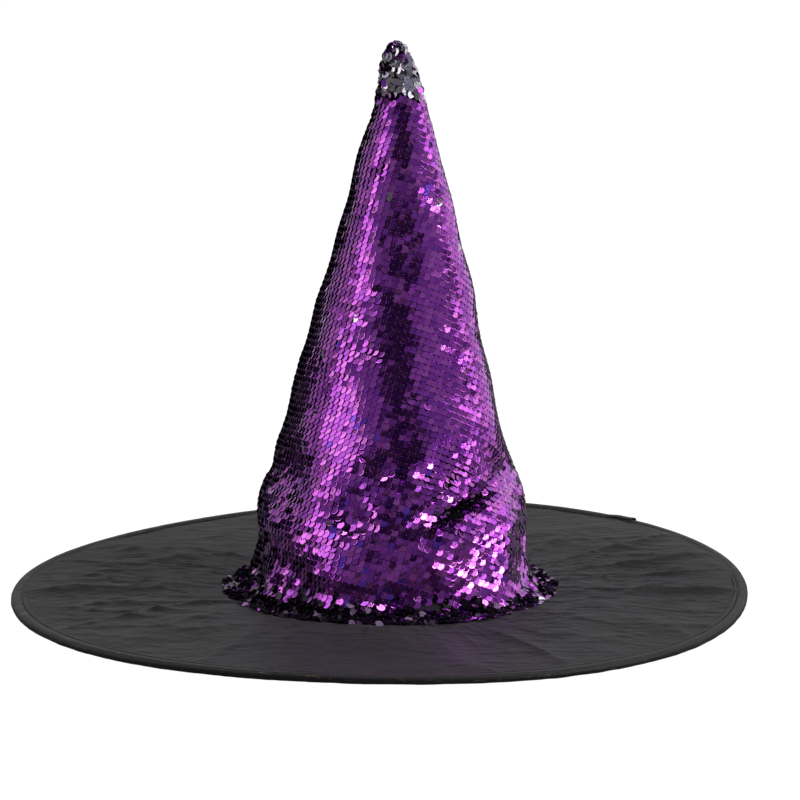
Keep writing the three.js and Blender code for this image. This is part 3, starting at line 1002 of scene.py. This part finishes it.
def build_hoop():
    """The sprung wire in the edge, and the crimped tube that holds its ends."""
    angle = np.linspace(HOOP_JOINT + HOOP_JOINT_GAP, HOOP_JOINT - HOOP_JOINT_GAP + 2 * np.pi, 720)
    path = brim_point(BRIM_RADIUS - HOOP_INSET, angle, HOOP_HEIGHT)
    rings = np.stack(tube_rows(path, HOOP_RADIUS, 16, closed=False), axis=1)
    wire = strip_piece("brim_hoop_spring_wire", rings[:, ::-1], [steel])
    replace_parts(wire, "brim_hoop_wire")

    half = FERRULE_LENGTH / 2 / BRIM_RADIUS
    angle = np.linspace(HOOP_JOINT - half, HOOP_JOINT + half, 41)
    path = brim_point(BRIM_RADIUS - HOOP_INSET, angle, HOOP_HEIGHT)
    place = np.linspace(-1, 1, 41)
    crimp = FERRULE_CRIMP * sum(np.exp(-(((place - at) / 0.12) ** 2)) for at in (-0.5, 0.5))
    outer, inner = (
        np.stack(tube_rows(path, radius - crimp, 24, closed=False), axis=1)
        for radius in (FERRULE_OUTER, FERRULE_BORE)
    )
    ferrule = round_piece("brim_hoop_crimp_tube", np.concatenate([outer, inner[::-1]]), [steel])
    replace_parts(ferrule, "brim_hoop_ferrule")
    for piece in (wire, ferrule):
        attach(piece, CROWN_BODY)


# ---- the stage, the lights and the camera ----

TARGET = Vector((0.0114, 0, 0.1122))
CAMERA_DISTANCE = 2.072
CAMERA_ELEVATION = 10.4


def direction(azimuth, elevation):
    """A direction from the hat. Azimuth is from the front, to the right, in degrees."""
    a, e = math.radians(azimuth), math.radians(elevation)
    return Vector((math.sin(a) * math.cos(e), -math.cos(a) * math.cos(e), math.sin(e)))


def aim(item, toward, distance):
    """Places a light or the camera so that it looks at the hat."""
    item.location = TARGET + toward * distance
    item.rotation_euler = (-toward).to_track_quat("-Z", "Y").to_euler()
    bpy.context.scene.collection.objects.link(item)


def add_camera():
    data = bpy.data.cameras.new("camera")
    data.lens = 165
    data.sensor_width = 36
    data.clip_end = 50
    camera = bpy.data.objects.new("camera", data)
    aim(camera, direction(0, CAMERA_ELEVATION), CAMERA_DISTANCE)
    bpy.context.scene.camera = camera


# Soft boxes as seen from the hat: the azimuths and the elevations that each one fills, in degrees,
# and the brightness and colour of its face. The front is the dimmest, where the camera stands.
SOFT_BOXES = {
    "left_edge": (-136, -94, 8, 50, 0.35, (1.0, 0.98, 1.02)),
    "left_key": (-92, -70, 4, 56, 1.2, (1.0, 0.93, 0.98)),
    "left_fill": (-68, -36, 6, 54, 0.17, (0.92, 0.9, 1.2)),
    "front": (-34, 24, 3, 28, 0.115, (0.98, 0.9, 1.2)),
    "right_fill": (26, 84, 22, 56, 0.17, (0.95, 0.92, 1.22)),
    "right_fill_low": (26, 97, 4, 21, 0.17, (0.95, 0.92, 1.22)),
    "right_key": (86, 106, 22, 56, 1.3, (1.0, 0.93, 1.0)),
    "right_key_low": (99, 113, 4, 21, 0.66, (1.0, 0.93, 1.0)),
    "right_edge": (113, 150, 4, 50, 0.7, (1.0, 0.97, 1.0)),
    "behind": (152, 222, 5, 32, 0.5, (1.0, 1.0, 1.0)),
    "over_left": (-115, -65, 62, 82, 2.7, (0.97, 1.0, 0.98)),
    "over_right": (62, 118, 62, 82, 4.1, (0.97, 1.0, 0.98)),
    "glow": (38, 84, 4, 19, 1.5, (1.0, 0.93, 1.0)),
    "glint": (52, 70, 8, 17, 8, (1.0, 1.0, 1.0)),
}
BOX_DISTANCE = 3.0


def add_lights():
    for name, (left, right, low, high, brightness, color) in SOFT_BOXES.items():
        middle = direction((left + right) / 2, (low + high) / 2)
        spread = math.cos(math.radians(low + high) / 2)
        width = 2 * BOX_DISTANCE * math.tan(math.radians(right - left) / 2) * spread
        height = 2 * BOX_DISTANCE * math.tan(math.radians(high - low) / 2)
        data = bpy.data.lights.new(name, "AREA")
        data.shape = "RECTANGLE"
        data.size, data.size_y = width, height
        data.energy = brightness * math.pi * width * height
        data.color = color
        aim(bpy.data.objects.new(name, data), middle, BOX_DISTANCE)


def add_world():
    """White to the eye, and a dim violet-grey room to everything that reflects it."""
    world = bpy.data.worlds.new("studio")
    world.use_nodes = True
    tree = world.node_tree
    tree.nodes.clear()
    output = tree.nodes.new("ShaderNodeOutputWorld")
    path = tree.nodes.new("ShaderNodeLightPath")
    mix = tree.nodes.new("ShaderNodeMixShader")
    for index, color in enumerate(((0.02, 0.02, 0.028), (1, 1, 1))):
        background = tree.nodes.new("ShaderNodeBackground")
        background.inputs["Color"].default_value = (*color, 1)
        tree.links.new(background.outputs[0], mix.inputs[index + 1])
    tree.links.new(path.outputs["Is Camera Ray"], mix.inputs[0])
    tree.links.new(mix.outputs[0], output.inputs["Surface"])
    bpy.context.scene.world = world


def add_floor():
    """A pale floor: white to the eye, and a faint glow to everything that reflects it."""
    size = 8000
    corners = np.array([(-size, -size, 0), (size, -size, 0), (size, size, 0), (-size, size, 0)], float)
    material = plain_material("pale_floor", (0.15, 0.15, 0.15), roughness=0.9, specular=0.1)
    n = Nodes(material)
    seen = n.add("LightPath", {}).outputs["Is Camera Ray"]
    glow = n.add("MapRange", {"Value": seen, "To Min": 0.04, "To Max": 1.0})
    n.surface(Emission_Color=(1, 1, 1), Emission_Strength=glow.outputs["Result"])
    floor = make_piece("floor", corners - (0, 0, 0.05), [0, 1, 2, 3], [4], [material])


bpy.context.scene.view_settings.view_transform = "Standard"
add_camera()
add_lights()
add_world()
add_floor()
build_sequins()
build_crown_cloths()
build_hem_roll()
build_seam_tape()
build_sweatband()
build_label()
build_brim()
build_binding()
build_brim_stitches()
build_hoop()
